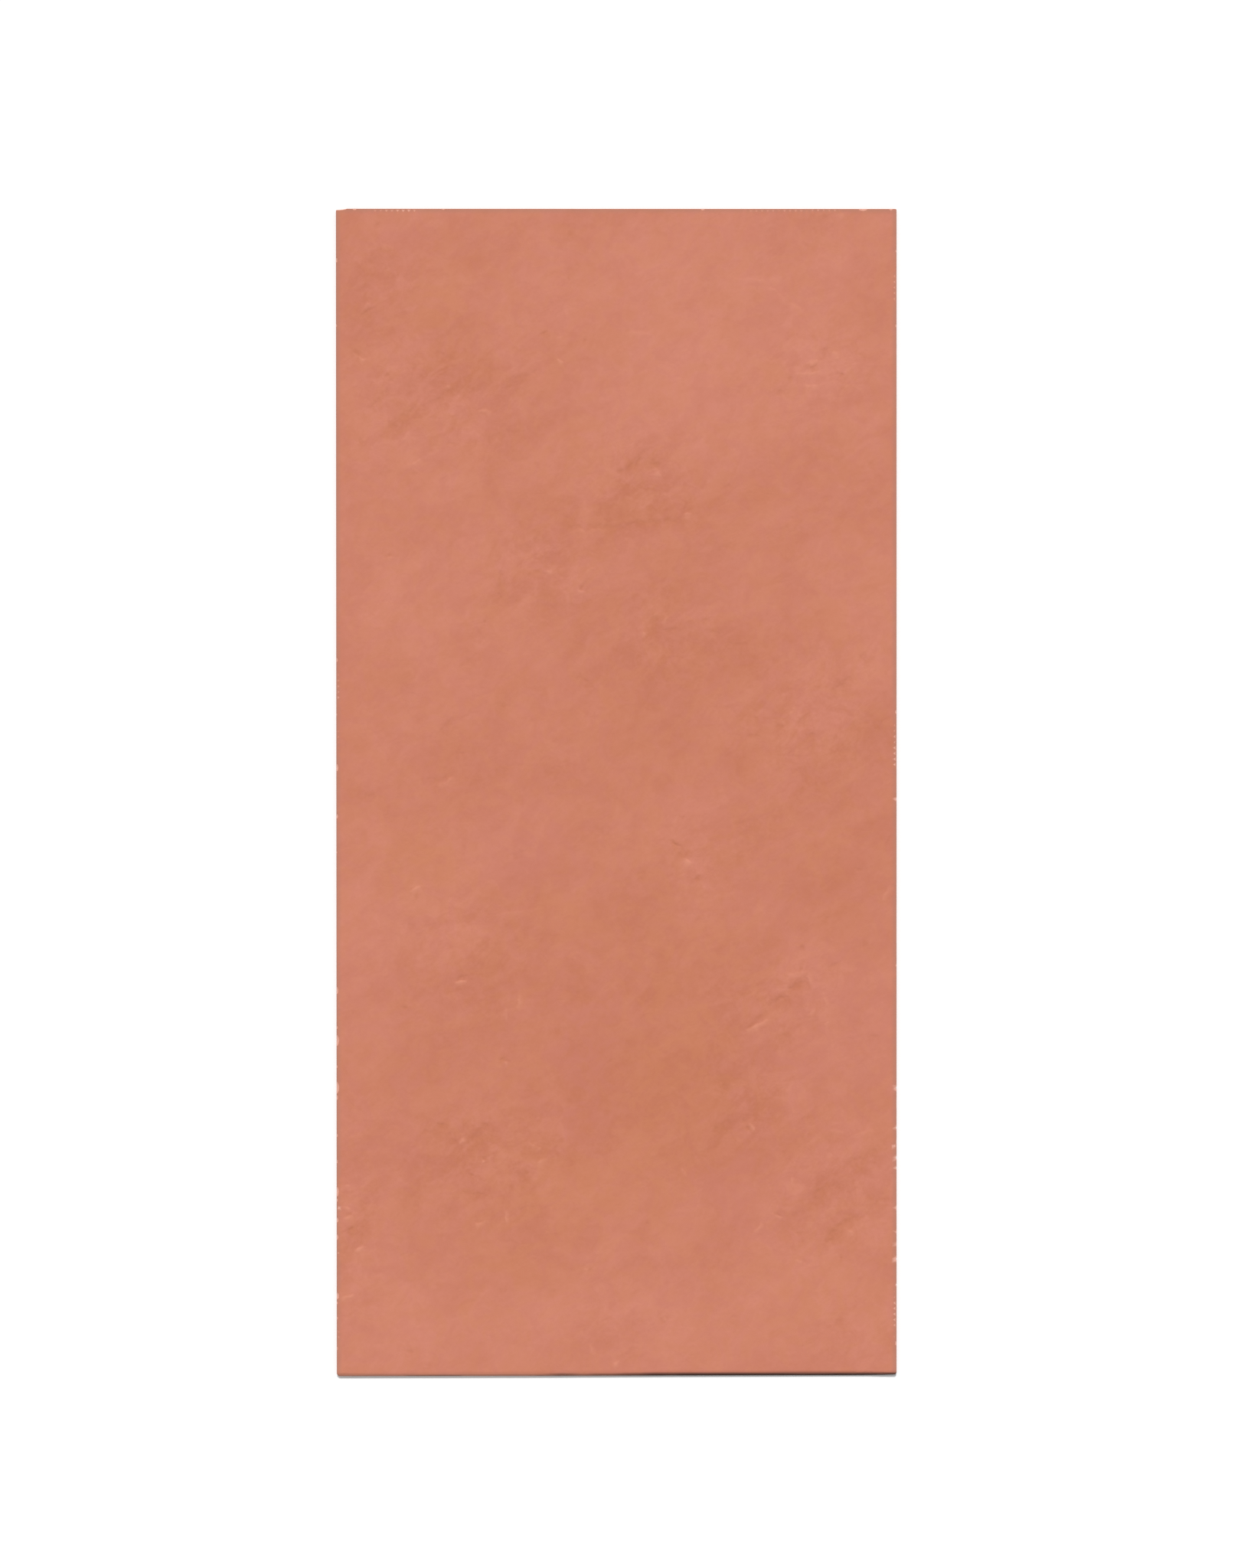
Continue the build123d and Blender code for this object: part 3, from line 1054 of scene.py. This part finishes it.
def clay_bump(tree, along, flat):
    """Drag marks, fine wrinkles and grain that are too small for the net."""
    stroke = math_node(tree, "SUBTRACT", clay_noise(tree, along, 42.0, 5, 0.8), 0.5)
    smear = math_node(tree, "SUBTRACT", clay_noise(tree, flat, 34.0, 5, 1.4), 0.5)
    swept = clay_patches(tree, flat, 6.0, 3, 0.9, 0.10)
    worked = clay_patches(tree, flat, 9.0, 4, 1.1, 0.14)
    stroke = math_node(tree, "MULTIPLY", stroke, remap(tree, swept, -1, 1, 0.15, 1.0))
    drag = math_node(tree, "MULTIPLY_ADD", smear, remap(tree, swept, -1, 1, 0.9, 0.2), stroke)
    drag = math_node(tree, "MULTIPLY", drag, remap(tree, worked, -1, 1, 0.45, 1.45))
    wrinkle = clay_noise(tree, along, 62.0, 3, 0.5, "RIDGED_MULTIFRACTAL")
    wrinkled = remap(tree, point_value(tree, "wrinkled"), 0, 1, 0.25, 1.0)
    wrinkle = math_node(tree, "MULTIPLY", wrinkle, wrinkled)
    grain = clay_noise(tree, flat, 900.0, 2)
    below = {}
    for height, distance in ((drag, 0.7 * MM), (wrinkle, 0.5 * MM), (grain, 0.015 * MM)):
        inputs = {"Height": height, "Strength": 1.0, "Distance": distance, **below}
        below = {"Normal": add_node(tree, "ShaderNodeBump", inputs).outputs["Normal"]}
    return below["Normal"]


def fired_clay(colours, stroke_angle):
    """Matt fired clay with a trowelled face."""
    clay = bpy.data.materials.new("Trowelled Fired Clay")
    clay.use_nodes = True
    tree = clay.node_tree
    flat = add_node(tree, "ShaderNodeTexCoord").outputs["Object"]
    along = add_node(
        tree,
        "ShaderNodeMapping",
        {"Vector": flat, "Rotation": (0, 0, stroke_angle), "Scale": (1.45, 1.0, 1.0)},
        vector_type="TEXTURE",
    ).outputs["Vector"]
    roughness = remap(tree, clay_noise(tree, along, 30.0, 3), 0.3, 0.7, 0.66, 0.84)
    shader = tree.nodes["Principled BSDF"]
    tree.links.new(clay_shade(tree, along, flat, colours), shader.inputs["Base Color"])
    tree.links.new(roughness, shader.inputs["Roughness"])
    tree.links.new(clay_bump(tree, along, flat), shader.inputs["Normal"])
    shader.inputs["Specular IOR Level"].default_value = 0.25
    return clay


class MESH_OT_trowelled_slab(bpy.types.Operator):
    """Make the trowelled face, the broken edges and the fired colours of the slab"""

    bl_idname = "mesh.trowelled_slab"
    bl_label = "Make Trowelled Slab"

    def execute(self, context):
        scene = context.scene
        piece = copy_of_node(NODE, PIECE)
        make_net(piece, scene.slab_net, scene.clay_relief.wander)
        press_relief(piece, scene.clay_relief)
        divide_many_sided(piece)
        piece.data.materials.clear()
        piece.data.materials.append(fired_clay(scene.clay_colours, scene.clay_relief.stroke_angle))
        bpy.ops.object.select_all(action="DESELECT")
        piece.select_set(True)
        context.view_layer.objects.active = piece
        bpy.ops.object.shade_smooth_by_angle(angle=math.radians(35))
        even = piece.modifiers.new("Even Shading", "WEIGHTED_NORMAL")
        even.keep_sharp = True
        bpy.ops.object.modifier_apply(modifier=even.name)
        triangles = int(np.sum(corners_of(piece.data) - 2))
        print("trowelled slab:", len(piece.data.vertices), "points,", triangles, "triangles")
        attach(piece, "root")
        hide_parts("slab")
        return {"FINISHED"}


class MESH_OT_slab_studio(bpy.types.Operator):
    """Make the pale floor, the soft light and the camera above the slab"""

    bl_idname = "mesh.slab_studio"
    bl_label = "Make Slab Studio"

    def execute(self, context):
        studio = context.scene.slab_studio
        bpy.ops.object.select_all(action="DESELECT")
        bpy.ops.mesh.primitive_plane_add(size=60, location=(0, 0, LOW.z))
        floor = context.active_object
        floor.name = "floor"
        paint = bpy.data.materials.new("Pale Floor")
        paint.use_nodes = True
        shader = paint.node_tree.nodes["Principled BSDF"]
        shader.inputs["Base Color"].default_value = (*studio.floor, 1)
        shader.inputs["Roughness"].default_value = 1
        shader.inputs["Specular IOR Level"].default_value = 0
        floor.data.materials.append(paint)

        sun = bpy.data.lights.new("key", "SUN")
        sun.energy = studio.key
        sun.angle = studio.key_softness
        key = bpy.data.objects.new("key", sun)
        key.rotation_euler = Vector(studio.key_direction).to_track_quat("Z", "Y").to_euler()
        context.scene.collection.objects.link(key)

        sky = bpy.data.worlds.new("studio")
        sky.use_nodes = True
        sky.node_tree.nodes["Background"].inputs["Color"].default_value = (1, 1, 1, 1)
        sky.node_tree.nodes["Background"].inputs["Strength"].default_value = studio.fill
        context.scene.world = sky

        camera = bpy.data.objects.new("camera", bpy.data.cameras.new("camera"))
        camera.data.lens = CAMERA_LENS
        camera.data.sensor_width = 36
        camera.location = CAMERA_PLACE
        camera.rotation_euler = tuple(math.radians(turn) for turn in CAMERA_TURNS)
        context.scene.collection.objects.link(camera)
        context.scene.camera = camera
        context.scene.view_settings.view_transform = "Standard"
        return {"FINISHED"}


class VIEW3D_PT_clay_slab(bpy.types.Panel):
    """The slab's operators and settings, in the sidebar"""

    bl_label = "Clay Slab"
    bl_idname = "VIEW3D_PT_clay_slab"
    bl_space_type = "VIEW_3D"
    bl_region_type = "UI"
    bl_category = "Clay Slab"

    def draw(self, context):
        for operator in (MESH_OT_trowelled_slab, MESH_OT_slab_studio):
            self.layout.operator(operator.bl_idname)
        for name in SETTINGS:
            group = getattr(context.scene, name)
            box = self.layout.box()
            box.label(text=group.bl_rna.name)
            for key in group.bl_rna.properties.keys():
                if key not in ("rna_type", "name"):
                    box.prop(group, key)


SETTINGS = {
    "slab_net": SlabNet,
    "clay_relief": ClayRelief,
    "clay_colours": ClayColours,
    "slab_studio": Studio,
}
CLASSES = (*SETTINGS.values(), MESH_OT_trowelled_slab, MESH_OT_slab_studio, VIEW3D_PT_clay_slab)


def register():
    for each in CLASSES:
        bpy.utils.register_class(each)
    for name, group in SETTINGS.items():
        setattr(bpy.types.Scene, name, PointerProperty(type=group))


def unregister():
    for name in SETTINGS:
        delattr(bpy.types.Scene, name)
    for each in reversed(CLASSES):
        bpy.utils.unregister_class(each)


def main():
    """Make the slab and its studio."""
    register()
    bpy.ops.mesh.trowelled_slab()
    bpy.ops.mesh.slab_studio()


if __name__ == "__main__":
    main()
